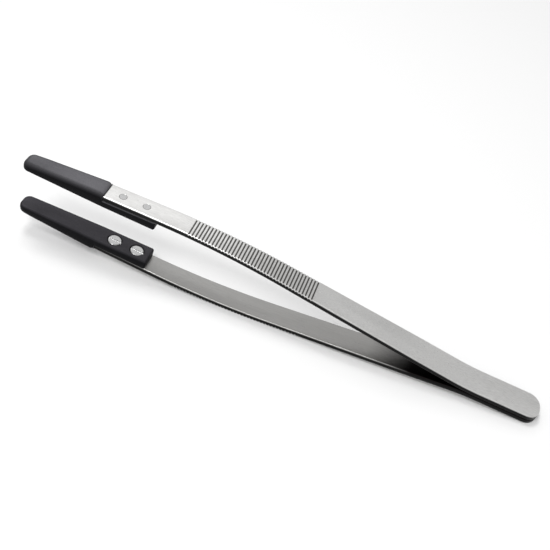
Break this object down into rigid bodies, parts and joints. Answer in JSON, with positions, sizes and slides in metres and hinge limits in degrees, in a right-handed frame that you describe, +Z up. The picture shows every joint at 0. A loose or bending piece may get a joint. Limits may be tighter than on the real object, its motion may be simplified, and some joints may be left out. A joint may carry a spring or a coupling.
{
  "type": "aquascaping tweezers",
  "caption": "Long sprung-steel tweezers: bowed strips welded at a rounded end, fine grip grooves, and moulded jaws whose inner tongues are fixed by small screws.",
  "frame": {"origin": "On the floor, under the middle of the tweezers as they lie on the lower arm's belly and the corner of the rounded end", "axes": "+X along the tweezers from the tips to the rounded end, +Y across the strips, +Z up through the upper arm"},
  "size_m": [0.2205, 0.0122, 0.0366],
  "materials": {
    "strip_steel": "satin brushed stainless steel, grain along the strip",
    "tip_plastic": "fine-textured moulded dark grey plastic",
    "screw_steel": "bright turned stainless steel"
  },
  "bodies": {
    "heel": {"upper_heel": "strip_steel", "lower_heel": "strip_steel"},
    "upper_arm": {"upper_arm": "strip_steel", "upper_tip": "tip_plastic", "upper_front_screw": "screw_steel", "upper_rear_screw": "screw_steel"},
    "lower_arm": {"lower_arm": "strip_steel", "lower_tip": "tip_plastic", "lower_front_screw": "screw_steel", "lower_rear_screw": "screw_steel"}
  },
  "joints": [
    {"name": "upper_flex", "type": "hinge", "parent": "heel", "child": "upper_arm", "pos_m": [0.05362, 0, 0.01232], "axis": [0, -1, 0], "range_deg": [0, 3.33], "stiffness_Nm_per_rad": 10},
    {"name": "lower_flex", "type": "hinge", "parent": "heel", "child": "lower_arm", "pos_m": [0.05274, 0, 0.00315], "axis": [0, 1, 0], "range_deg": [0, 3.33], "stiffness_Nm_per_rad": 10}
  ]
}
